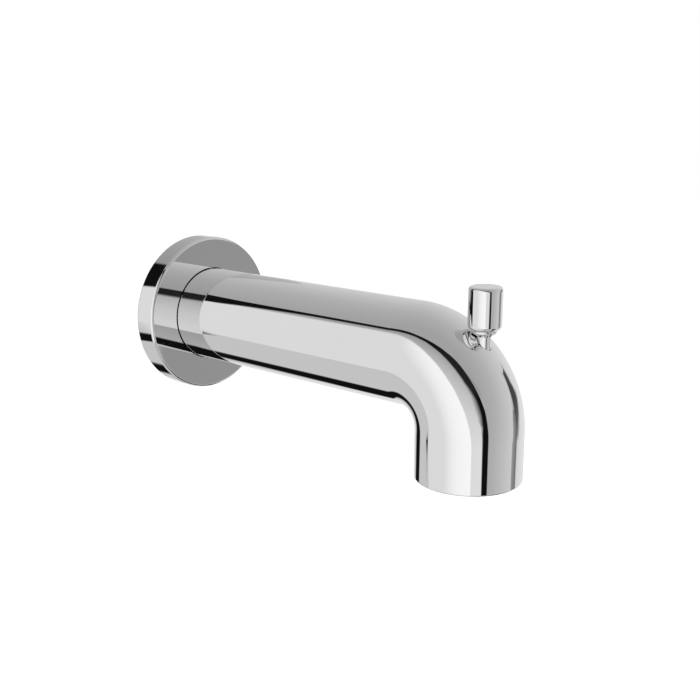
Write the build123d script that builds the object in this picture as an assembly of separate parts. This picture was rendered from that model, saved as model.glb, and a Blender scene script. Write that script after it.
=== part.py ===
from build123d import *
import os
from math import sqrt

# Wall-mounted bath spout with a lift-up diverter, in millimetres.
# The wall is the plane X = 0, the spout's axis runs out of it along +X, and Z is up.
# Water fills the body and goes through a port in the nose. Lifting the knob slides a gate up over
# the port, the water's own pressure holds it there, and it drops open when the water is turned off.

# Spout body: a straight tube, a tight bend and a short leg, cast in one piece
TUBE_OD = 41.3
TUBE_WALL = 2.6
BEND_RADIUS = 25.4  # of the centreline
BEND_START = 128.3  # from the wall
OUTLET_DROP = 44.3  # from the spout's axis down to the rim
RIM_ROUND = 0.5
BODY_SETBACK = 2.5  # from the wall to the body's back end
LEG_STEP = 0.5  # the leg's machined bore is larger than the cast one by this, in radius
SHOULDER_DROP = 1.0  # from the end of the bend down to the step

# Wall flange
FLANGE_DIA = 69.8
FLANGE_DEPTH = 10.3
FLANGE_EDGE = 1.1
FLANGE_BACK_EDGE = 0.6
FLANGE_RIM_WALL = 2.6
FLANGE_FRONT_WALL = 3.4
FLANGE_HUB_SHARE = 0.32  # of the flange's width round the tube
FLANGE_LEAD_IN = 0.1
FLANGE_RING_SECTION = 2.4

# Inlet adapter for a half-inch copper tube
PIPE_OD = 15.9
PIPE_DEPTH = 38.0  # how far the copper tube goes in
ADAPTER_COLLAR = 24.0  # length of the wide end that screws into the body
ADAPTER_NOSE_DIA = 25.0
ADAPTER_STOP = 5.0  # thickness of the step that the copper tube meets
ADAPTER_STOP_BORE = 13.2
ADAPTER_LIP_INSET = 0.6  # the lip is smaller than the tube by this, in radius
ADAPTER_LEAD_IN = 0.5
ADAPTER_RING_SECTION = 2.4
ADAPTER_RING_LAND = 2.0  # metal between the collar's groove and its inner end
PIPE_RING_SECTION = 2.4
PIPE_RING_PITCH = 5.0

# Set screw on the underside
SCREW_DIA = 6.0
SCREW_RECESS = 2.2  # from the tube's underside up to the screw
SCREW_FROM_WALL = 16.0
SCREW_KEY = 3.0  # across the flats of its socket
SCREW_KEY_DEPTH = 3.5
SCREW_POINT = 1.0
SCREW_BACKED_OFF = 0.4  # from the adapter's bore, so that the copper tube goes in freely

# Lift rod, its gland and the knob
ROD_DIA = 5.0
ROD_OFFSET = 5.3  # outward of the leg's axis
ROD_THREAD_DIA = 4.0
ROD_THREAD_IN_KNOB = 8.0
ROD_RING_SECTION = 1.8
GLAND_DIA = 10.0
GLAND_LENGTH = 4.0
GLAND_SLOT = 1.2
GLAND_WALL = 2.0  # of the boss round the gland
GLAND_COVER = 3.0  # metal left over the seal, measured upright at its outer side
KNOB_DIA = 12.7
KNOB_HEIGHT = 18.4
KNOB_TOP_ROUND = 1.3
KNOB_CAP_ROUND = 2.0
KNOB_GROOVE = 0.3
KNOB_NECK_DIA = 8.0
KNOB_FOOT_DIA = 9.3
KNOB_FOOT_HEIGHT = 2.0
KNOB_FOOT_TAPER = 1.35  # height of the foot's cone, which follows the slope of the roof
KNOB_FOOT_ROUND = 1.0
KNOB_TIP_DIA = 5.6

# Pieces at the mouth, from the rim up
RING_SETBACK = 1.5  # from the rim up to the retaining ring
RING_HEIGHT = 3.0
RING_WIDTH = 4.0
RING_NOTCH = 3.0
RING_NOTCHES = 4
STRAIGHTENER_THICKNESS = 2.4
CELL_SIZE = 3.0  # across the flats of a hexagonal cell
CELL_WALL = 0.7

# Diverter housing and gate
HOUSING_WALL = 1.8
HOUSING_FLOOR = 1.6
HOUSING_SKIRT = 1.6  # space under the floor, where the water spreads over the straightener
HOUSING_RING_SECTION = 2.0
CHANNEL_DEPTH = 12.5  # along the spout's axis
CHANNEL_WIDTH = 18.0
CHANNEL_CORNER = 3.0
PORT_WIDTH = 15.0
PORT_HEIGHT = 9.0
GATE_WIDTH = 21.0
GATE_HEIGHT = 14.5
GATE_PLATE = 3.0
GATE_RIB_DIA = 8.0
GATE_THREAD_DEPTH = 9.0
GATE_LIP = 2.0  # how far the guides reach over the gate's edges
SEAL_MARGIN = 2.0  # the seal reaches past the port by this all round
SEAL_THICKNESS = 1.4
SEAL_PROUD = 0.4
NUT_SIZE = 7.0  # across its flats
NUT_HEIGHT = 2.4
LIFT = 11.0

# Clearances
FIT = 0.05  # screwed, pushed and running fits, in radius
SLIP = 0.15  # the adapter over the copper tube, the rod and the screw through the body, in radius
FLANGE_SLIP = 0.35  # the flange over the tube, in radius
RUN = 0.3  # between the gate and its guides
SEAT_GAP = 0.2  # between the gate's seal and its seat
KNOB_GAP = 0.2  # upright, between the roof and the knob

# Places worked out from the sizes
TUBE_R = TUBE_OD / 2
BORE_R = TUBE_R - TUBE_WALL
LEG_R = BORE_R + LEG_STEP
LEG_X = BEND_START + BEND_RADIUS
SHOULDER_Z = -BEND_RADIUS - SHOULDER_DROP
RIM_Z = -OUTLET_DROP
FLANGE_BORE_R = TUBE_R + FLANGE_SLIP
FLANGE_HUB_R = FLANGE_BORE_R + FLANGE_HUB_SHARE * (FLANGE_DIA / 2 - FLANGE_BORE_R)
ADAPTER_BORE_R = PIPE_OD / 2 + SLIP
COLLAR_R = BORE_R - FIT
PIPE_RINGS = [PIPE_DEPTH - PIPE_RING_PITCH * count for count in (1, 2)]
ADAPTER_RING_X = ADAPTER_COLLAR - ADAPTER_RING_LAND - ADAPTER_RING_SECTION / 2 - FIT
ROD_R = ROD_DIA / 2
ROD_X = LEG_X + ROD_OFFSET
GLAND_R = GLAND_DIA / 2
RING_Z = RIM_Z + RING_SETBACK
RING_BORE = 2 * (LEG_R - FIT - RING_WIDTH)
STRAIGHTENER_Z = RING_Z + RING_HEIGHT
HOUSING_Z = STRAIGHTENER_Z + STRAIGHTENER_THICKNESS
FLOOR_Z = HOUSING_Z + HOUSING_SKIRT
POCKET_Z = FLOOR_Z + HOUSING_FLOOR
GATE_Z = POCKET_Z + RUN
GATE_TOP = GATE_Z + GATE_HEIGHT
PORT_Z = GATE_Z + GATE_HEIGHT / 2 + LIFT
GATE_X = ROD_X - GATE_RIB_DIA / 2
SEAT_X = GATE_X - SEAL_PROUD - SEAT_GAP
CHANNEL_X = SEAT_X - HOUSING_WALL - CHANNEL_DEPTH
GUIDE_HALF = GATE_WIDTH / 2 + RUN


def roof_height(x):
    """Height of the bend's outer surface above the spout's axis, on the middle plane."""
    return sqrt((BEND_RADIUS + TUBE_R) ** 2 - (x - BEND_START) ** 2) - BEND_RADIUS


SEAL_TOP = roof_height(ROD_X + GLAND_R) - GLAND_COVER
GLAND_TOP = SEAL_TOP - ROD_RING_SECTION - FIT
BOSS_Z = GLAND_TOP - GLAND_LENGTH
KNOB_Z = roof_height(ROD_X - KNOB_TIP_DIA / 2) + KNOB_GAP


def turned(axis, outline):
    """Solid turned about the X or Z axis, from points of (place along it, radius)."""
    if axis == Axis.Z:
        outline = [(radius, height) for height, radius in outline]
    return revolve(make_face(Plane.XZ * Polyline(*outline, close=True)), axis)


def sleeve(axis, start, end, inner, outer):
    """Plain ring or disc about the X or Z axis."""
    return turned(axis, [(start, inner), (end, inner), (end, outer), (start, outer)])


def o_ring(section, inner):
    """Round-section ring about Z, by the radius of the surface inside it."""
    return Torus(inner + FIT + section / 2, section / 2)


def rims(solid, axis, place):
    """Circular edges at one place along a solid, counted from its start, with the smallest first."""
    return solid.edges().filter_by(GeomType.CIRCLE).group_by(axis)[place].sort_by(SortBy.RADIUS)


def about_rod(solid):
    """Moves a solid made about the Z axis to the rod's axis."""
    return Pos(ROD_X, 0, 0) * solid


def about_leg(solid):
    """Moves a solid made about the Z axis to the leg's axis."""
    return Pos(LEG_X, 0, 0) * solid


def upright(plan, bottom, top):
    """Prism on a plan seen from above."""
    return extrude(Pos(0, 0, bottom) * plan, top - bottom)


def rectangle(back, front, half_width):
    """Plan between two X places, centred on the middle plane."""
    return Pos((back + front) / 2, 0) * Rectangle(front - back, 2 * half_width)


def bent_bar(radius, back, bottom):
    """Round bar along the spout's centreline."""
    start = Plane((back, 0, 0), x_dir=(0, 0, 1), z_dir=(1, 0, 0))
    turn = Plane((BEND_START, 0, 0), x_dir=(0, 0, 1), z_dir=(1, 0, 0))
    straight = extrude(start * Circle(radius), BEND_START - back)
    bend = revolve(turn * Circle(radius), Axis((BEND_START, 0, -BEND_RADIUS), (0, 1, 0)), 90)
    leg = about_leg(upright(Circle(radius), bottom, -BEND_RADIUS))
    return straight + bend + leg


def spout_body():
    """Cast tube with a boss for the rod inside the roof of its bend."""
    body = bent_bar(TUBE_R, BODY_SETBACK, RIM_Z)
    body = fillet(rims(body, Axis.Z, 0)[-1], RIM_ROUND)
    boss = about_rod(sleeve(Axis.Z, BOSS_Z, TUBE_R, 0, GLAND_R + FIT + GLAND_WALL))
    body -= bent_bar(BORE_R, 0, RIM_Z - RIM_ROUND) - boss
    mouth = [(RIM_Z, 0), (RIM_Z, LEG_R + RIM_ROUND), (RIM_Z + RIM_ROUND, LEG_R)]
    body -= about_leg(turned(Axis.Z, mouth + [(SHOULDER_Z, LEG_R), (SHOULDER_Z, 0)]))
    seal_r = ROD_R + 2 * FIT + ROD_RING_SECTION
    rod_hole = turned(
        Axis.Z,
        [
            (BOSS_Z, 0),
            (BOSS_Z, GLAND_R + FIT),
            (GLAND_TOP, GLAND_R + FIT),
            (GLAND_TOP, seal_r),
            (SEAL_TOP, seal_r),
            (SEAL_TOP, ROD_R + SLIP),
            (TUBE_R, ROD_R + SLIP),
            (TUBE_R, 0),
        ],
    )
    body -= about_rod(rod_hole)
    return body - Pos(SCREW_FROM_WALL, 0, 0) * sleeve(Axis.Z, -TUBE_R, 0, 0, SCREW_DIA / 2 + SLIP)


def wall_flange():
    """Escutcheon with a hub that slides on the tube and a recess for the gasket."""
    floor = FLANGE_DEPTH - FLANGE_FRONT_WALL
    flange = sleeve(Axis.X, 0, FLANGE_DEPTH, FLANGE_BORE_R, FLANGE_DIA / 2)
    flange -= sleeve(Axis.X, 0, floor, FLANGE_HUB_R, FLANGE_DIA / 2 - FLANGE_RIM_WALL)
    groove = FLANGE_RING_SECTION / 2 + FIT
    middle = FLANGE_DEPTH / 2
    flange -= sleeve(Axis.X, middle - groove, middle + groove, TUBE_R, TUBE_R + 2 * groove)
    flange = fillet(rims(flange, Axis.X, 0)[-1], FLANGE_BACK_EDGE)
    flange = fillet(rims(flange, Axis.X, -1)[-1], FLANGE_EDGE)
    return chamfer(rims(flange, Axis.X, -1)[0], FLANGE_LEAD_IN)


def flange_gasket():
    """Foam ring that fills the recess in the back of the flange."""
    outer = FLANGE_DIA / 2 - FLANGE_RIM_WALL - FIT
    return sleeve(Axis.X, 0, FLANGE_DEPTH - FLANGE_FRONT_WALL, FLANGE_HUB_R + FIT, outer)


def flange_o_ring():
    """Ring that grips the tube inside the flange."""
    return Pos(FLANGE_DEPTH / 2, 0, 0) * Rot(0, 90, 0) * o_ring(FLANGE_RING_SECTION, TUBE_R)


def inlet_adapter():
    """Stepped bush with grooves for its seals and a threaded hole for the set screw."""
    lip = TUBE_R - ADAPTER_LIP_INSET
    nose = ADAPTER_NOSE_DIA / 2
    end = PIPE_DEPTH + ADAPTER_STOP
    adapter = turned(
        Axis.X,
        [
            (0, ADAPTER_BORE_R + ADAPTER_LEAD_IN),
            (ADAPTER_LEAD_IN, ADAPTER_BORE_R),
            (PIPE_DEPTH, ADAPTER_BORE_R),
            (PIPE_DEPTH, ADAPTER_STOP_BORE / 2),
            (end, ADAPTER_STOP_BORE / 2),
            (end, nose),
            (ADAPTER_COLLAR, nose),
            (ADAPTER_COLLAR, COLLAR_R),
            (BODY_SETBACK, COLLAR_R),
            (BODY_SETBACK, lip),
            (0, lip),
        ],
    )
    half = PIPE_RING_SECTION / 2 + FIT
    for place in PIPE_RINGS:
        adapter -= sleeve(Axis.X, place - half, place + half, 0, PIPE_OD / 2 + 2 * half)
    half = ADAPTER_RING_SECTION / 2 + FIT
    adapter -= sleeve(Axis.X, ADAPTER_RING_X - half, ADAPTER_RING_X + half, BORE_R - 2 * half, BORE_R)
    return adapter - Pos(SCREW_FROM_WALL, 0, 0) * sleeve(Axis.Z, -BORE_R, 0, 0, SCREW_DIA / 2 + FIT)


def adapter_o_ring():
    """Ring between the adapter's collar and the body."""
    inner = BORE_R - ADAPTER_RING_SECTION - 2 * FIT
    return Pos(ADAPTER_RING_X, 0, 0) * Rot(0, 90, 0) * o_ring(ADAPTER_RING_SECTION, inner)


def pipe_o_rings():
    """Two rings that seal on the copper tube, drawn as they lie when it is in place."""
    ring = Rot(0, 90, 0) * o_ring(PIPE_RING_SECTION, PIPE_OD / 2)
    return Compound([Pos(place, 0, 0) * ring for place in PIPE_RINGS])


def set_screw():
    """Headless hexagon socket screw, in the adapter from below."""
    tip = -ADAPTER_BORE_R - SCREW_BACKED_OFF
    end = SCREW_RECESS - TUBE_R
    radius = SCREW_DIA / 2
    screw = turned(
        Axis.Z,
        [
            (tip, 0),
            (tip, radius - SCREW_POINT),
            (tip - SCREW_POINT, radius),
            (end, radius),
            (end, 0),
        ],
    )
    socket = RegularPolygon(SCREW_KEY / 2, 6, major_radius=False)
    screw -= upright(socket, end, end + SCREW_KEY_DEPTH)
    return Pos(SCREW_FROM_WALL, 0, 0) * screw


def rod_gland():
    """Threaded guide under the rod's seal, with a slot across its lower end for a driver."""
    gland = sleeve(Axis.Z, BOSS_Z, GLAND_TOP, ROD_R + FIT, GLAND_R)
    gland -= upright(Rectangle(GLAND_DIA, GLAND_SLOT), BOSS_Z, BOSS_Z + GLAND_SLOT)
    return about_rod(gland)


def rod_o_ring():
    """Ring that seals the rod, trapped over the gland."""
    return Pos(ROD_X, 0, (SEAL_TOP + GLAND_TOP) / 2) * o_ring(ROD_RING_SECTION, ROD_R)


def lift_rod():
    """Rod with a threaded end for the knob and a longer one for the nut and the gate."""
    thread = ROD_THREAD_DIA / 2
    nut_top = GATE_TOP + NUT_HEIGHT
    rod = turned(
        Axis.Z,
        [
            (GATE_TOP - GATE_THREAD_DEPTH + RUN, 0),
            (GATE_TOP - GATE_THREAD_DEPTH + RUN, thread),
            (nut_top, thread),
            (nut_top, ROD_R),
            (KNOB_Z, ROD_R),
            (KNOB_Z, thread),
            (KNOB_Z + ROD_THREAD_IN_KNOB, thread),
            (KNOB_Z + ROD_THREAD_IN_KNOB, 0),
        ],
    )
    return about_rod(rod)


def lift_knob():
    """Round cap over a narrow groove and a tapered foot, bored for the rod's thread."""
    shoulder = KNOB_Z + KNOB_FOOT_TAPER
    foot_top = KNOB_Z + KNOB_FOOT_HEIGHT
    cap_bottom = foot_top + KNOB_GROOVE
    knob = sleeve(Axis.Z, cap_bottom, KNOB_Z + KNOB_HEIGHT, 0, KNOB_DIA / 2)
    knob = fillet(rims(knob, Axis.Z, -1)[-1], KNOB_TOP_ROUND)
    knob = fillet(rims(knob, Axis.Z, 0)[-1], KNOB_CAP_ROUND)
    foot = turned(
        Axis.Z,
        [
            (KNOB_Z, 0),
            (KNOB_Z, KNOB_TIP_DIA / 2),
            (shoulder, KNOB_FOOT_DIA / 2),
            (foot_top, KNOB_FOOT_DIA / 2),
            (foot_top, 0),
        ],
    )
    knob += fillet(rims(foot, Axis.Z, 1)[-1], KNOB_FOOT_ROUND)
    knob += sleeve(Axis.Z, shoulder, cap_bottom + KNOB_GROOVE, 0, KNOB_NECK_DIA / 2)
    hole_top = KNOB_Z + ROD_THREAD_IN_KNOB + RUN
    knob -= sleeve(Axis.Z, KNOB_Z, hole_top, 0, ROD_THREAD_DIA / 2 + FIT)
    return about_rod(knob)


def diverter_housing():
    """Cup that seals in the leg, with a tower that holds the port and the gate's guides in front of it."""
    wall = HOUSING_WALL
    half = HOUSING_RING_SECTION / 2 + FIT
    groove_r = LEG_R - 2 * half
    cup = sleeve(Axis.Z, HOUSING_Z, SHOULDER_Z, groove_r - wall, LEG_R - FIT)
    cup += sleeve(Axis.Z, FLOOR_Z, POCKET_Z, 0, groove_r)
    tower_top = GATE_TOP + LIFT
    tower = rectangle(CHANNEL_X - wall, SEAT_X, CHANNEL_WIDTH / 2 + wall)
    tower = fillet(tower.vertices().group_by(Axis.X)[0], CHANNEL_CORNER + wall)
    lip_x = GATE_X + GATE_PLATE + RUN
    guides = rectangle(SEAT_X - wall, lip_x + wall, GUIDE_HALF + wall)
    guides -= rectangle(SEAT_X, lip_x, GUIDE_HALF)
    guides -= rectangle(lip_x, lip_x + wall, GUIDE_HALF - GATE_LIP)
    raised = upright(tower + guides, FLOOR_Z, tower_top)
    housing = about_leg(cup) + (raised & bent_bar(BORE_R - RUN, BODY_SETBACK, FLOOR_Z))
    channel = rectangle(CHANNEL_X, SEAT_X - wall, CHANNEL_WIDTH / 2)
    channel = fillet(channel.vertices().group_by(Axis.X)[0], CHANNEL_CORNER)
    housing -= upright(channel, FLOOR_Z, tower_top - wall)
    port = Plane((SEAT_X - wall, 0, PORT_Z), x_dir=(0, 1, 0), z_dir=(1, 0, 0))
    housing -= extrude(port * SlotOverall(PORT_WIDTH, PORT_HEIGHT), wall)
    middle = (HOUSING_Z + SHOULDER_Z) / 2
    return housing - about_leg(sleeve(Axis.Z, middle - half, middle + half, groove_r, LEG_R))


def housing_o_ring():
    """Ring that seals the housing in the leg."""
    inner = LEG_R - HOUSING_RING_SECTION - 2 * FIT
    return Pos(LEG_X, 0, (HOUSING_Z + SHOULDER_Z) / 2) * o_ring(HOUSING_RING_SECTION, inner)


def seal_plan():
    """Outline of the gate's seal, seen along the spout."""
    facing = Plane((GATE_X, 0, GATE_Z + GATE_HEIGHT / 2), x_dir=(0, 1, 0), z_dir=(-1, 0, 0))
    return facing * SlotOverall(PORT_WIDTH + 2 * SEAL_MARGIN, PORT_HEIGHT + 2 * SEAL_MARGIN)


def diverter_gate():
    """Sliding plate with a round rib that takes the rod, and a recess for the seal."""
    plate = rectangle(GATE_X, GATE_X + GATE_PLATE, GATE_WIDTH / 2)
    gate = upright(plate, GATE_Z, GATE_TOP)
    gate += about_rod(sleeve(Axis.Z, GATE_Z, GATE_TOP, 0, GATE_RIB_DIA / 2))
    gate -= about_rod(sleeve(Axis.Z, GATE_TOP - GATE_THREAD_DEPTH, GATE_TOP, 0, ROD_THREAD_DIA / 2 + FIT))
    return gate - extrude(seal_plan(), -(SEAL_THICKNESS - SEAL_PROUD))


def gate_seal():
    """Rubber pad that stands proud of the gate and covers the port when it is up."""
    return extrude(seal_plan(), SEAL_PROUD) + extrude(seal_plan(), -(SEAL_THICKNESS - SEAL_PROUD))


def gate_lock_nut():
    """Hexagon nut that locks the rod in the gate."""
    nut = upright(RegularPolygon(NUT_SIZE / 2, 6, major_radius=False), GATE_TOP, GATE_TOP + NUT_HEIGHT)
    nut -= sleeve(Axis.Z, GATE_TOP, GATE_TOP + NUT_HEIGHT, 0, ROD_THREAD_DIA / 2 + FIT)
    return about_rod(nut)


def stream_straightener():
    """Disc with a honeycomb of cells that evens out the water."""
    disc = sleeve(Axis.Z, STRAIGHTENER_Z, HOUSING_Z, 0, LEG_R - FIT)
    pitch = CELL_SIZE + CELL_WALL
    reach = (RING_BORE - CELL_SIZE) / 2 - CELL_WALL
    count = int(RING_BORE / pitch)
    cells = Sketch()
    for column in range(-count, count + 1):
        for row in range(-count, count + 1):
            place = Vector(pitch * sqrt(3) / 2 * column, pitch * (row + column % 2 / 2))
            if place.length < reach:
                cells += Pos(place) * RegularPolygon(CELL_SIZE / 2, 6, major_radius=False)
    return about_leg(disc - upright(cells, STRAIGHTENER_Z, HOUSING_Z))


def retaining_ring():
    """Threaded ring that holds the pieces in the leg, with notches for a spanner."""
    ring = sleeve(Axis.Z, RING_Z, STRAIGHTENER_Z, RING_BORE / 2, LEG_R - FIT)
    notch = upright(Rectangle(RING_BORE + RING_NOTCH, RING_NOTCH), RING_Z, RING_Z + RING_NOTCH / 2)
    for count in range(RING_NOTCHES // 2):
        ring -= Rot(0, 0, 360 / RING_NOTCHES * count) * notch
    return about_leg(ring)


PIECES = [
    spout_body,
    wall_flange,
    flange_gasket,
    flange_o_ring,
    inlet_adapter,
    adapter_o_ring,
    pipe_o_rings,
    set_screw,
    rod_gland,
    rod_o_ring,
    lift_rod,
    lift_knob,
    diverter_housing,
    housing_o_ring,
    diverter_gate,
    gate_seal,
    gate_lock_nut,
    stream_straightener,
    retaining_ring,
]

os.makedirs("parts", exist_ok=True)
for piece in PIECES:
    export_step(piece(), f"parts/{piece.__name__}.step")
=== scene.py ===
import math

import bmesh
import bpy
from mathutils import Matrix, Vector

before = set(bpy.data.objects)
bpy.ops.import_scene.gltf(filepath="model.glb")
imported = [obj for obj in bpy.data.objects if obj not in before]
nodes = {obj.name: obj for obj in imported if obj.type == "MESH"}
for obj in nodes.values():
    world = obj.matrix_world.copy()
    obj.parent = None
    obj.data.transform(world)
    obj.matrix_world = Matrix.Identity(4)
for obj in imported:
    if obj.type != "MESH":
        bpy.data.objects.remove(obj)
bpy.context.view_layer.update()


# Spout body: a brass casting, ground and polished all over, then plated with bright chrome.
# It is the whole bent tube in one piece, and everything else is fixed to it or inside it.
# The plating is a clean mirror, with only a breath of haze where it was wiped.
CHROME_REFLECTS = 0.87  # share of the light that the plating gives back
CHROME_CLOUD = 0.006  # how far that share wanders over the surface
NOISE_LOW = 0.3  # most of a noise lies between these two
NOISE_HIGH = 0.7


def object_place(tree):
    """The piece's own coordinates, in metres."""
    return tree.nodes.new("ShaderNodeTexCoord").outputs["Object"]


def speckle(tree, to_the_metre, detail=3.0):
    """Noise, by how many speckles there are to the metre."""
    noise = tree.nodes.new("ShaderNodeTexNoise")
    noise.inputs["Scale"].default_value = to_the_metre
    noise.inputs["Detail"].default_value = detail
    tree.links.new(object_place(tree), noise.inputs["Vector"])
    return noise.outputs["Fac"]


def spread(tree, value, low, high, start=NOISE_LOW, end=NOISE_HIGH):
    """Carries the values from start to end over to those from low to high."""
    span = tree.nodes.new("ShaderNodeMapRange")
    span.inputs["From Min"].default_value = start
    span.inputs["From Max"].default_value = end
    span.inputs["To Min"].default_value = low
    span.inputs["To Max"].default_value = high
    tree.links.new(value, span.inputs["Value"])
    return span.outputs["Result"]


def tint(tree, noise, dark, light):
    """Two close colours, mixed by a noise."""
    ramp = tree.nodes.new("ShaderNodeValToRGB")
    ramp.color_ramp.elements[0].position = NOISE_LOW
    ramp.color_ramp.elements[0].color = (*dark, 1)
    ramp.color_ramp.elements[1].position = NOISE_HIGH
    ramp.color_ramp.elements[1].color = (*light, 1)
    tree.links.new(noise, ramp.inputs["Fac"])
    return ramp.outputs["Color"]


def mottled(name, colours, blotches, roughness, marks, detail=3.0, metallic=0.0):
    """A finish of two close colours in blotches, with a roughness that changes by its marks.

    Blotches and marks are given by how many there are to the metre.
    """
    finish = bpy.data.materials.new(name)
    finish.use_nodes = True
    tree = finish.node_tree
    shader = tree.nodes["Principled BSDF"]
    shader.inputs["Metallic"].default_value = metallic
    colour = tint(tree, speckle(tree, blotches), *colours)
    tree.links.new(colour, shader.inputs["Base Color"])
    haze = spread(tree, speckle(tree, marks, detail), *roughness)
    tree.links.new(haze, shader.inputs["Roughness"])
    return finish


def dress(finish, *names):
    """Gives CAD pieces their finish."""
    for name in names:
        nodes[name].material_slots[0].material = finish


chrome = mottled(
    "chrome_plating",
    colours=([CHROME_REFLECTS - CHROME_CLOUD] * 3, [CHROME_REFLECTS + CHROME_CLOUD] * 3),
    blotches=35.0,
    roughness=(0.015, 0.035),
    marks=90.0,
    detail=5.0,
    metallic=1.0,
)
dress(chrome, "spout_body")


# Inlet adapter: a turned brass bush, screwed into the wall end of the body.
# It slips over the copper tube from the wall, and its bare metal shows fine turning marks.
brass = mottled(
    "turned_brass",
    colours=((0.66, 0.47, 0.21), (0.76, 0.58, 0.30)),
    blotches=120.0,
    roughness=(0.22, 0.36),
    marks=900.0,
    detail=2.0,
    metallic=1.0,
)
dress(brass, "inlet_adapter")


# Seals: black nitrile O-rings, two on the copper tube and one each for the adapter, flange,
# rod and housing. They are moulded, with the dull skin and fine grain of soft rubber.
def press_in(finish, pattern, strength, depth):
    """Presses a fine pattern into a finish, so that it catches the light."""
    tree = finish.node_tree
    bump = tree.nodes.new("ShaderNodeBump")
    bump.inputs["Strength"].default_value = strength
    bump.inputs["Distance"].default_value = depth
    tree.links.new(pattern, bump.inputs["Height"])
    tree.links.new(bump.outputs["Normal"], tree.nodes["Principled BSDF"].inputs["Normal"])


rubber = mottled(
    "nitrile_rubber",
    colours=((0.018, 0.018, 0.019), (0.035, 0.035, 0.037)),
    blotches=300.0,
    roughness=(0.5, 0.68),
    marks=300.0,
)
rubber_grain = speckle(rubber.node_tree, to_the_metre=4000.0)
press_in(rubber, rubber_grain, strength=0.12, depth=0.0001)
dress(rubber, "pipe_o_rings", "adapter_o_ring", "flange_o_ring", "rod_o_ring", "housing_o_ring")


# Set screw: a headless hexagon socket screw of stainless steel, on the underside near the wall.
# It screws through the adapter and clamps the copper tube.
steel = mottled(
    "stainless_steel",
    colours=((0.50, 0.50, 0.51), (0.60, 0.61, 0.62)),
    blotches=400.0,
    roughness=(0.24, 0.38),
    marks=400.0,
    metallic=1.0,
)
dress(steel, "set_screw")


# Wall flange: a turned brass escutcheon, polished and chrome plated like the body.
# It slides along the tube and is pushed up to the wall, where its O-ring holds it.
dress(chrome, "wall_flange")


# Flange gasket: a ring of black sponge rubber in the recess of the flange's back.
# Its cut skin shows small open pores, and it is squeezed against the tiles.
def open_pores(tree, to_the_metre):
    """Rounded pits, by how many there are to the metre."""
    pores = tree.nodes.new("ShaderNodeTexVoronoi")
    pores.inputs["Scale"].default_value = to_the_metre
    tree.links.new(object_place(tree), pores.inputs["Vector"])
    return pores.outputs["Distance"]


sponge = mottled(
    "sponge_rubber",
    colours=((0.045, 0.045, 0.048), (0.095, 0.095, 0.10)),
    blotches=500.0,
    roughness=(0.82, 0.95),
    marks=500.0,
)
sponge_pores = open_pores(sponge.node_tree, to_the_metre=1600.0)
press_in(sponge, sponge_pores, strength=0.6, depth=0.0003)
dress(sponge, "flange_gasket")


# Diverter: a moulded acetal housing in the leg, with a brass gate that slides up over its port.
# A rubber pad on the gate seals the port, and a brass nut locks the gate on the rod.
# A brass gland, screwed up into the roof of the bend, guides the rod.
acetal = mottled(
    "moulded_acetal",
    colours=((0.58, 0.59, 0.60), (0.66, 0.67, 0.68)),
    blotches=150.0,
    roughness=(0.34, 0.48),
    marks=700.0,
)
dress(acetal, "diverter_housing")
dress(brass, "diverter_gate", "gate_lock_nut", "rod_gland")
dress(rubber, "gate_seal")


# Mouth: an acetal honeycomb that straightens the stream, held up by a chrome plated ring.
# The ring screws into the leg, and its four notches take a pin spanner.
dress(acetal, "stream_straightener")
dress(chrome, "retaining_ring")


# Lift rod and knob: a chrome plated rod through the roof of the bend, with a turned knob on top.
# They are lifted to send the water to the shower.
dress(chrome, "lift_rod", "lift_knob")


# Studio floor: a plain pale sheet, well below the spout, which hangs free as it would on a wall.
# The camera sees it white, apart from the spout's soft shadow.
WHITE = (1, 1, 1, 1)
FLOOR_GREY = (0.62, 0.62, 0.62, 1)
FLOOR_LIFT = 0.45  # glow that brings the grey up to white where the floor is looked at
FLOOR_Z = -0.32
FLOOR_REACH = 4.0
LEG_AXIS = Vector((0.155, 0, 0))  # the leg stands in the middle of the studio


def stage_piece(name, mesh, finish):
    """Makes a studio piece from a bmesh."""
    data = bpy.data.meshes.new(name)
    mesh.to_mesh(data)
    mesh.free()
    piece = bpy.data.objects.new(name, data)
    bpy.context.scene.collection.objects.link(piece)
    data.materials.append(finish)
    return piece


def math_step(tree, operation, value):
    """A step of arithmetic, with its second number or link still to be set."""
    step = tree.nodes.new("ShaderNodeMath")
    step.operation = operation
    tree.links.new(value, step.inputs[0])
    return step


def pale_floor():
    finish = bpy.data.materials.new("pale_floor")
    finish.use_nodes = True
    tree = finish.node_tree
    shader = tree.nodes["Principled BSDF"]
    shader.inputs["Base Color"].default_value = FLOOR_GREY
    shader.inputs["Roughness"].default_value = 1.0
    shader.inputs["Specular IOR Level"].default_value = 0.0
    shader.inputs["Emission Color"].default_value = WHITE
    path = tree.nodes.new("ShaderNodeLightPath")
    seen = path.outputs["Is Camera Ray"]
    for ray in ("Is Glossy Ray", "Is Transmission Ray"):
        either = math_step(tree, "MAXIMUM", seen)
        tree.links.new(path.outputs[ray], either.inputs[1])
        seen = either.outputs["Value"]
    lift = math_step(tree, "MULTIPLY", seen)
    lift.inputs[1].default_value = FLOOR_LIFT
    tree.links.new(lift.outputs["Value"], shader.inputs["Emission Strength"])
    return finish


sheet = bmesh.new()
bmesh.ops.create_grid(sheet, x_segments=1, y_segments=1, size=FLOOR_REACH)
bmesh.ops.translate(sheet, vec=(LEG_AXIS.x, 0, FLOOR_Z), verts=sheet.verts)
floor = stage_piece("floor", sheet, pale_floor())
floor.visible_glossy = False


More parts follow.
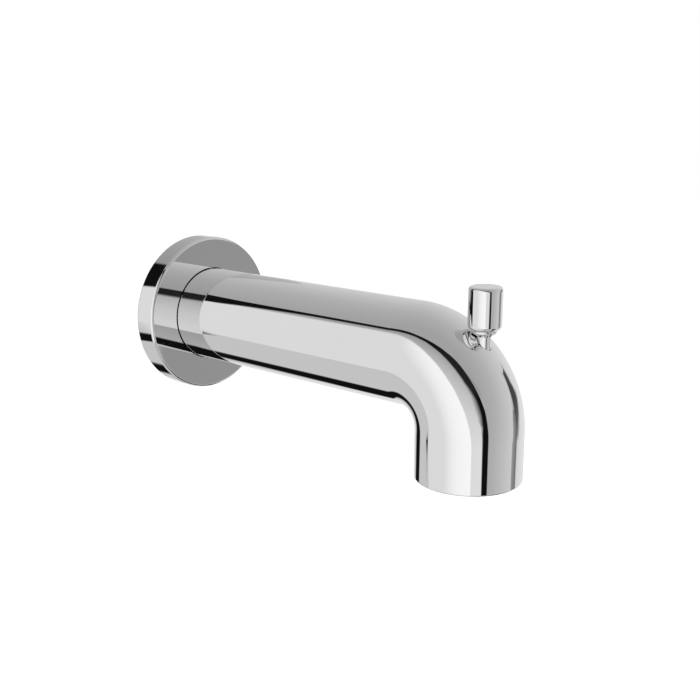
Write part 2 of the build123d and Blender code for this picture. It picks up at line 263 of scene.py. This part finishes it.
# Light tent: a grey cloth dome round the spout, lighter towards the back, with a pale ground sheet.
# Only the chrome sees it and the cards in it. The tent, and each card that stands well away, shows
# in the same direction to every part of the spout.
TENT_RADIUS = 60.0
TENT_PANELS = 96
TENT_HOOPS = 64
TENT_LEAN = 15  # degrees that its darkest point stands above the front
TENT_SHADES = [(60, 0.63), (90, 0.68), (120, 0.755), (180, 0.87)]  # by degrees from that point
WALL_AWAY = 12.0
GROUND_DROP = 0.70  # below the leg, as a share of the wall's distance
GROUND_CORNERS = [(0, 0), (-80, -1.5), (-65, -65), (0, -90), (45, -78)]  # metres from the leg
GROUND_SHADE = 0.76
SCREEN_FOOT = 0.055  # these two turn a shade, as a screen shows it, into light
SCREEN_POWER = 2.4
WHOLE = 1.0  # how far a card covers what lies behind it
CLEAR = 0.0


def light_for(grey):
    """Light that shows as this shade of grey, from 0 to 1, in the plating."""
    light = ((grey + SCREEN_FOOT) / (1 + SCREEN_FOOT)) ** SCREEN_POWER / CHROME_REFLECTS
    return (light, light, light, 1)


def chrome_only(*pieces):
    """Shows studio pieces in reflections and nowhere else."""
    for piece in pieces:
        piece.visible_camera = False
        piece.visible_diffuse = False
        piece.visible_shadow = False


def glow_finish(name):
    """An emission material that covers what lies behind it as far as its mesh says."""
    finish = bpy.data.materials.new(name)
    finish.use_nodes = True
    tree = finish.node_tree
    tree.nodes.remove(tree.nodes["Principled BSDF"])
    glow = tree.nodes.new("ShaderNodeEmission")
    clear = tree.nodes.new("ShaderNodeBsdfTransparent")
    cover = tree.nodes.new("ShaderNodeAttribute")
    cover.attribute_name = "cover"
    blend = tree.nodes.new("ShaderNodeMixShader")
    tree.links.new(cover.outputs["Fac"], blend.inputs["Fac"])
    tree.links.new(clear.outputs["BSDF"], blend.inputs[1])
    tree.links.new(glow.outputs["Emission"], blend.inputs[2])
    tree.links.new(blend.outputs["Shader"], tree.nodes["Material Output"].inputs["Surface"])
    return finish, glow


def plain_glow(name, grey):
    finish, glow = glow_finish(name)
    glow.inputs["Color"].default_value = light_for(grey)
    return finish


def shades(tree, share, stops):
    """A ramp of greys, given as they show in chrome."""
    ramp = tree.nodes.new("ShaderNodeValToRGB")
    while len(ramp.color_ramp.elements) < len(stops):
        ramp.color_ramp.elements.new(1.0)
    for element, (at, grey) in zip(ramp.color_ramp.elements, stops):
        element.position = at
        element.color = light_for(grey)
    tree.links.new(share, ramp.inputs["Fac"])
    return ramp.outputs["Color"]


def along(tree, direction):
    """How far a place lies in a direction."""
    dot = tree.nodes.new("ShaderNodeVectorMath")
    dot.operation = "DOT_PRODUCT"
    dot.inputs[1].default_value = direction
    tree.links.new(object_place(tree), dot.inputs[0])
    return dot.outputs["Value"]


def tent_cloth():
    finish, glow = glow_finish("tent_cloth")
    tree = finish.node_tree
    lean = math.radians(TENT_LEAN)
    darkest = Vector((0, -math.cos(lean), math.sin(lean)))
    angle = math_step(tree, "ARCCOSINE", along(tree, darkest / TENT_RADIUS))
    turn = math_step(tree, "DIVIDE", angle.outputs["Value"])
    turn.inputs[1].default_value = math.pi
    stops = [(degrees / 180, grey) for degrees, grey in TENT_SHADES]
    tree.links.new(shades(tree, turn.outputs["Value"], stops), glow.inputs["Color"])
    return finish


def all_cover(mesh):
    """Marks a studio mesh as covering all over."""
    cover = mesh.verts.layers.float.new("cover")
    for vert in mesh.verts:
        vert[cover] = WHOLE
    return mesh


cloth = bmesh.new()
bmesh.ops.create_uvsphere(cloth, u_segments=TENT_PANELS, v_segments=TENT_HOOPS, radius=TENT_RADIUS)
bmesh.ops.translate(cloth, vec=LEG_AXIS, verts=cloth.verts)
tent = stage_piece("tent", all_cover(cloth), tent_cloth())
ground_mesh = bmesh.new()
corners = [LEG_AXIS + Vector((x, y, -GROUND_DROP * WALL_AWAY)) for x, y in GROUND_CORNERS]
ground_mesh.faces.new([ground_mesh.verts.new(corner) for corner in corners])
ground = stage_piece("ground_sheet", all_cover(ground_mesh), plain_glow("ground_sheet", GROUND_SHADE))
chrome_only(tent, ground)


# Front wall: a tall white diffuser facing the spout's side, lit from below, so it fades upwards.
# A brighter diffuser, the key, stands before its left part, and gives the spout its broad white
# highlights. Places and heights on both are shares of the wall's distance.
WALL_SHADES = [(-0.6, 0.86), (0.0, 0.82), (0.5, 0.75), (1.0, 0.66), (1.5, 0.58)]  # by height
WALL_FOOT = [
    (-2.2, -0.40), (-1.45, -0.48), (-1.17, -0.52), (-1.05, -0.62),
    (-0.9, -0.68), (0.0, -0.72), (1.6, -0.98), (3.0, -1.2),
]
WALL_TOP = 1.6
KEY_SHADES = [(-0.42, 0.85), (-0.20, 0.90), (-0.05, 0.93), (0.12, 0.95), (0.5, 0.965)]  # across
KEY_LEAN = 0.28  # share of the height that is added to the place across
KEY_NEARER = 0.1  # metres before the wall
KEY_FOOT = -0.7
KEY_FOOT_SLOPE = 0.15  # its foot drops by this towards the left
KEY_FOOT_RIGHT = 0.8
KEY_EDGE = [
    (-1.75, 0.60), (-1.45, 0.98), (-1.16, 1.06), (-0.80, 1.03), (-0.49, 0.94), (-0.25, 0.80),
    (0.04, 0.58), (0.33, 0.33), (0.56, 0.07), (0.68, -0.13), (0.77, -0.39), (0.83, -0.75),
]
KEY_FADE = [
    (-1.80, 0.66), (-1.50, 1.16), (-1.16, 1.24), (-0.77, 1.15), (-0.44, 1.02), (-0.20, 0.86),
    (0.08, 0.63), (0.37, 0.37), (0.60, 0.10), (0.73, -0.12), (0.82, -0.38), (0.88, -0.75),
]


def front_place(across, up, nearer=0.0):
    """A place on the front wall, or before it."""
    return LEG_AXIS + Vector((across * WALL_AWAY, nearer - WALL_AWAY, up * WALL_AWAY))


def key_foot(across):
    """A place on the key's foot, below one on its edge."""
    up = KEY_FOOT + KEY_FOOT_SLOPE * min(across, 0)
    return front_place(min(across, KEY_FOOT_RIGHT), up, KEY_NEARER)


def soft_card(rows):
    """A card through rows of places, each with how far it covers what lies behind."""
    card = bmesh.new()
    cover = card.verts.layers.float.new("cover")
    edges = []
    for places in rows:
        row = []
        for place, share in places:
            row.append(card.verts.new(place))
            row[-1][cover] = share
        edges.append([card.edges.new(pair) for pair in zip(row, row[1:])])
    for one, other in zip(edges, edges[1:]):
        bmesh.ops.bridge_loops(card, edges=one + other)
    return card


def graded_glow(name, across, up, stops):
    """A glow that changes in one direction over the front wall."""
    finish, glow = glow_finish(name)
    tree = finish.node_tree
    first, last = stops[0][0], stops[-1][0]
    reach = along(tree, (across, 0, up))
    share = spread(tree, reach, 0.0, 1.0, first * WALL_AWAY, last * WALL_AWAY)
    ramp = [((at - first) / (last - first), grey) for at, grey in stops]
    tree.links.new(shades(tree, share, ramp), glow.inputs["Color"])
    return finish


wall_rows = [
    [(front_place(across, up), WHOLE) for across, up in WALL_FOOT],
    [(front_place(across, WALL_TOP), WHOLE) for across, _ in WALL_FOOT],
]
wall_glow = graded_glow("wall_diffuser", 0, 1, WALL_SHADES)
front_wall = stage_piece("front_wall", soft_card(wall_rows), wall_glow)
key_rows = [
    [(key_foot(across), WHOLE) for across, _ in KEY_EDGE],
    [(front_place(across, up, KEY_NEARER), WHOLE) for across, up in KEY_EDGE],
    [(front_place(across, up, KEY_NEARER), CLEAR) for across, up in KEY_FADE],
]
key_glow = graded_glow("key_diffuser", 1, KEY_LEAN, KEY_SHADES)
key = stage_piece("key_diffuser", soft_card(key_rows), key_glow)
chrome_only(front_wall, key)


# Black arch: a band of black felt, bent into an arch beside the spout, before the front wall.
# It draws the long dark lines along the tube, over the bend and down the leg. Its front foot
# stands near, so that the leg and the flange see it in different directions.
FELT_SHADE = 0.06
FLAG_AWAY = 6.0
ARCH_AWAY = 0.45
ARCH_OUTER_FADE = 0.12  # in widths of the arch
ARCH_STATIONS = [  # inner edge, outer edge, inner fade in widths, cover, distance
    ((208, -22), (206, -22), 0.3, CLEAR, FLAG_AWAY),
    ((209, -20.2), (205, -20.2), 0.3, 0.35, FLAG_AWAY),
    ((209, -19.3), (204, -19.3), 0.2, WHOLE, FLAG_AWAY),
    ((211, -15), (196, -15), 0.1, WHOLE, FLAG_AWAY),
    ((214, -12), (193, -12), 0.08, WHOLE, FLAG_AWAY),
    ((214, -9), (193, -9), 0.08, WHOLE, FLAG_AWAY),
    ((210, 8), (192, 8), 0.1, WHOLE, FLAG_AWAY),
    ((211.3, 24), (187, 30), 0.04, WHOLE, FLAG_AWAY),
    ((212.5, 28), (191, 37.5), 0.05, WHOLE, FLAG_AWAY),
    ((212, 30.5), (198, 36), 0.07, WHOLE, FLAG_AWAY),
    ((212, 32.5), (203.5, 35), 0.15, WHOLE, FLAG_AWAY),
    ((212, 35.5), (206, 36.2), 0.25, WHOLE, FLAG_AWAY),
    ((212.5, 37), (208.5, 38.7), 0.35, WHOLE, FLAG_AWAY),
    ((214, 38.5), (210.5, 40.7), 0.35, WHOLE, FLAG_AWAY),
    ((216.5, 40.6), (213.5, 42.8), 0.4, WHOLE, FLAG_AWAY),
    ((227, 46.6), (223, 48.9), 0.5, WHOLE, FLAG_AWAY),
    ((236, 50.3), (232, 53), 0.5, WHOLE, FLAG_AWAY),
    ((246, 53), (243, 56), 0.5, WHOLE, FLAG_AWAY),
    ((258, 54.4), (256, 58.2), 0.4, WHOLE, 2.0),
    ((270.5, 53.3), (270, 59), 0.3, WHOLE, 1.2),
    ((283, 50.7), (285, 58), 0.25, 0.98, 0.7),
    ((294, 45.8), (299, 55), 0.25, 0.97, 0.5),
    ((304.5, 39), (312, 49.5), 0.25, 0.97, ARCH_AWAY),
    ((314.5, 30.5), (324.5, 37.5), 0.4, 0.97, ARCH_AWAY),
    ((322.5, 24), (330.5, 29), 0.75, 0.97, ARCH_AWAY),
    ((330, 15), (335.5, 19.5), 1.8, WHOLE, ARCH_AWAY),
    ((333, 5), (340, 8), 1.5, WHOLE, ARCH_AWAY),
    ((333, -5), (341, -2), 0.7, WHOLE, ARCH_AWAY),
    ((331.5, -14), (342, -12), 0.3, WHOLE, ARCH_AWAY),
    ((332, -27), (342.5, -26), 0.15, WHOLE, ARCH_AWAY),
    ((333, -32), (342.5, -32), 0.15, WHOLE, ARCH_AWAY),
]


def toward(turn, rise, start, away):
    """A place for a card, by degrees round from the spout's own direction and degrees up."""
    turn, rise = math.radians(turn), math.radians(rise)
    level = away * math.cos(rise)
    return start + Vector((level * math.cos(turn), level * math.sin(turn), away * math.sin(rise)))


def beyond(first, last, share):
    """The place past the last one, by a share of the step that leads to it."""
    return tuple(b + (b - a) * share for a, b in zip(first, last))


def hang_card(name, stations, finish):
    """A card through stations: four places across it, clear at the outer two, and its cover."""
    rows = [list(zip(places, (CLEAR, cover, cover, CLEAR))) for places, cover in stations]
    chrome_only(stage_piece(name, soft_card(rows), finish))


felt = plain_glow("black_felt", FELT_SHADE)
arch = []
for inner, outer, fade, cover, away in ARCH_STATIONS:
    across = [beyond(outer, inner, fade), inner, outer, beyond(inner, outer, ARCH_OUTER_FADE)]
    arch.append(([toward(*spot, LEG_AXIS, away) for spot in across], cover))
hang_card("black_arch", arch, felt)


# Strips and screen: black felt laid low at the wall end and low in front, and a leaning dark screen
# behind on the right. They draw the dark lines along the tube's underside and the leg's two sides.
LEFT_STRIP = [  # rows of four places across, fade to fade, and the cover between
    ((183, -17), (180.5, -17), (162.5, -17), (158, -17), WHOLE),
    ((180.5, -22), (178, -22), (162, -22), (157, -22), WHOLE),
    ((180.5, -30), (178, -30), (168, -30), (162, -29), WHOLE),
    ((182.5, -40), (177.5, -40), (161, -41.5), (157, -39.5), WHOLE),
    ((182.5, -45), (178, -45), (155.5, -44.5), (151, -43), WHOLE),
    ((182.5, -51), (178.5, -51), (148, -46.5), (144, -44), WHOLE),
    ((182.5, -62), (177.5, -62), (148, -62), (140, -62), WHOLE),
]
RIGHT_STRIP = [
    ((357, -33), (362, -33), (384, -33), (390, -29), WHOLE),
    ((356, -38), (361, -38), (390, -37), (397, -35), WHOLE),
    ((356, -43), (361, -43), (394, -43), (400, -42), WHOLE),
    ((369, -47), (374, -47), (393, -47), (399, -47), WHOLE),
    ((370, -62), (376, -62), (392, -62), (402, -62), WHOLE),
]
DARK_SCREEN = [
    ((56, 24), (62, 18.3), (68, 18.5), (72.5, 23), 0.9),
    ((51, 9), (57.5, 9), (68, 9), (73.5, 9), 0.92),
    ((48, 2), (56, 2), (73, 2), (79, 2), 0.91),
    ((45, -1), (54, -1), (74, -1), (82, -1), 0.9),
    ((45, -4.5), (59, -4.5), (67.5, -4.5), (80, -4.5), 0.86),
    ((47, -10), (58.5, -10), (60.5, -10), (71, -10), 0.83),
    ((47, -22), (58.5, -22), (59.5, -22), (66, -22), 0.8),
    ((47, -27), (57, -27), (60, -27), (66, -27), CLEAR),
]


def hang_flag(name, rows, start, away, finish=felt):
    """A card by its rows, all at one distance from a starting place."""
    stations = [([toward(*spot, start, away) for spot in across], cover) for *across, cover in rows]
    hang_card(name, stations, finish)


hang_flag("left_strip", LEFT_STRIP, LEG_AXIS, FLAG_AWAY)
hang_flag("right_strip", RIGHT_STRIP, LEG_AXIS, FLAG_AWAY)
hang_flag("dark_screen", DARK_SCREEN, LEG_AXIS, FLAG_AWAY)


# Flange cards: small pieces of black felt and thin black gauze on stands close to the spout.
# They give the flange's face, front edge and rim dark lines and shades of their own. The gauze
# only dims what lies behind it.
FACE_CARD_AWAY = 0.7
FACE_GAUZE = 0.52
FACE_CARD = [
    ((48, -1), (49.5, -1), (55, -1), (58, -1), CLEAR),
    ((45.5, -3), (47, -3), (56, -3), (58.5, -3), FACE_GAUZE),
    ((42.5, -6), (44.5, -6), (56, -6), (58.5, -6), FACE_GAUZE),
    ((41.8, -12), (44, -12), (56, -12), (58.5, -12), FACE_GAUZE),
    ((41.8, -27), (44, -27), (56, -27), (58.5, -27), FACE_GAUZE),
]
FLANGE_EDGE_AT = Vector((0.01, -0.015, -0.03))
EDGE_FLAG_AWAY = 0.25
EDGE_FLAG = [
    ((361, -30.5), (361, -31.5), (361, -52), (361, -53), WHOLE),
    ((370, -26.5), (370, -27.5), (366, -56), (366, -57), WHOLE),
    ((382, -24), (382, -25), (380, -58), (380, -59), WHOLE),
    ((393, -26), (393, -27), (395, -58), (395, -59), WHOLE),
    ((408, -30), (408, -31), (412, -56), (412, -57), WHOLE),
    ((420, -35), (420, -36), (430, -54), (430, -55), WHOLE),
    ((436, -41), (436, -42), (455, -52), (455, -53), WHOLE),
]
FLANGE_RIM_AT = Vector((0.005, -0.025, 0.01))
RIM_FLAG_AWAY = 0.3
RIM_FLAG = [
    ((204, -31.3), (204, -30.3), (204, -24.4), (204, -22.8), WHOLE),
    ((215.5, -31.3), (215.5, -30.3), (215.5, -24.4), (215.5, -22.8), WHOLE),
    ((220, -31.3), (220, -30.3), (220, -24.4), (220, -22.8), CLEAR),
]
LOWER_VEIL_AWAY = 0.32
LOWER_GAUZE = 0.25
LOWER_VEIL = [
    ((204, -25), (204, -24), (204, -15), (204, -12.5), LOWER_GAUZE),
    ((215.5, -25), (215.5, -24), (215.5, -15), (215.5, -12.5), LOWER_GAUZE),
    ((220, -25), (220, -24), (220, -15), (220, -12.5), CLEAR),
]
UPPER_VEIL_AWAY = 0.25
UPPER_GAUZE = 0.24
UPPER_VEIL = [
    ((120, 3), (120, 4), (120, 22), (120, 23), UPPER_GAUZE),
    ((135, 13), (135, 14), (135, 32), (135, 33), UPPER_GAUZE),
    ((148, 21), (148, 22), (148, 38), (148, 39), UPPER_GAUZE),
    ((155, 26), (155, 27), (155, 41.5), (155, 42.5), UPPER_GAUZE),
    ((163, 29.5), (163, 30.5), (163, 44), (163, 45), UPPER_GAUZE),
    ((190, 32.5), (190, 33.5), (192, 43.5), (192, 44.5), UPPER_GAUZE),
]
hang_flag("face_card", FACE_CARD, LEG_AXIS, FACE_CARD_AWAY)
hang_flag("edge_flag", EDGE_FLAG, FLANGE_EDGE_AT, EDGE_FLAG_AWAY)
hang_flag("rim_flag", RIM_FLAG, FLANGE_RIM_AT, RIM_FLAG_AWAY)
hang_flag("lower_veil", LOWER_VEIL, FLANGE_RIM_AT, LOWER_VEIL_AWAY)
hang_flag("upper_veil", UPPER_VEIL, FLANGE_RIM_AT, UPPER_VEIL_AWAY)


# White sheet: paper laid low behind the spout, hung from a line and curved over the ground.
# It lifts the back edges of the chrome, so that they part from the tent.
PAPER_SHADE = 0.86
WHITE_SHEET = [
    ((94, -62), (116, -62), (142, -62), (148, -62), WHOLE),
    ((94, -30), (116, -30), (148, -30), (154, -30), WHOLE),
    ((94, -4), (116, -4), (148, -4), (154, -4), WHOLE),
    ((94, 7), (116, 7), (150, 7), (156, 7), CLEAR),
]
hang_flag("white_sheet", WHITE_SHEET, LEG_AXIS, FLAG_AWAY, plain_glow("white_paper", PAPER_SHADE))


# Studio light: a white room with one large soft lamp overhead, which gives the floor its shadow.
# The lamp is kept out of the chrome, where the tent and the diffusers are what shows.
LAMP_SIZE = 1.0
LAMP_POWER = 6.0
LAMP_AT = (0.1, -0.2, 1.2)
world = bpy.data.worlds.new("white_room")
world.use_nodes = True
room = world.node_tree.nodes["Background"]
room.inputs["Color"].default_value = WHITE
room.inputs["Strength"].default_value = 1.0
bpy.context.scene.world = world
lamp_data = bpy.data.lights.new("overhead_lamp", "AREA")
lamp_data.size = LAMP_SIZE
lamp_data.energy = LAMP_POWER
lamp = bpy.data.objects.new("overhead_lamp", lamp_data)
lamp.location = LAMP_AT
lamp.visible_glossy = False
lamp.visible_camera = False
bpy.context.scene.collection.objects.link(lamp)
bpy.context.scene.view_settings.view_transform = "Standard"


# Camera: a normal lens at the spout's left front, a little above it, as in the photograph.
# It looks at a point on the tube just short of the bend, from less than half a metre away.
CAMERA_TURN = 40.755
CAMERA_RISE = 13.894
CAMERA_FROM_AIM = 0.4023
CAMERA_AIM = Vector((0.09444, 0.0, -0.00423))
CAMERA_LENS = 50.52
CAMERA_SENSOR = 36.0
CAMERA_NEAR = 0.01
CAMERA_FAR = 50.0
camera_data = bpy.data.cameras.new("camera")
camera_data.lens = CAMERA_LENS
camera_data.sensor_width = CAMERA_SENSOR
camera_data.clip_start = CAMERA_NEAR
camera_data.clip_end = CAMERA_FAR
camera = bpy.data.objects.new("camera", camera_data)
bpy.context.scene.collection.objects.link(camera)
turn, rise = math.radians(CAMERA_TURN), math.radians(CAMERA_RISE)
back = Vector((math.sin(turn) * math.cos(rise), -math.cos(turn) * math.cos(rise), math.sin(rise)))
camera.location = CAMERA_AIM + back * CAMERA_FROM_AIM
camera.rotation_mode = "QUATERNION"
camera.rotation_quaternion = (-back).to_track_quat("-Z", "Y")
bpy.context.scene.camera = camera
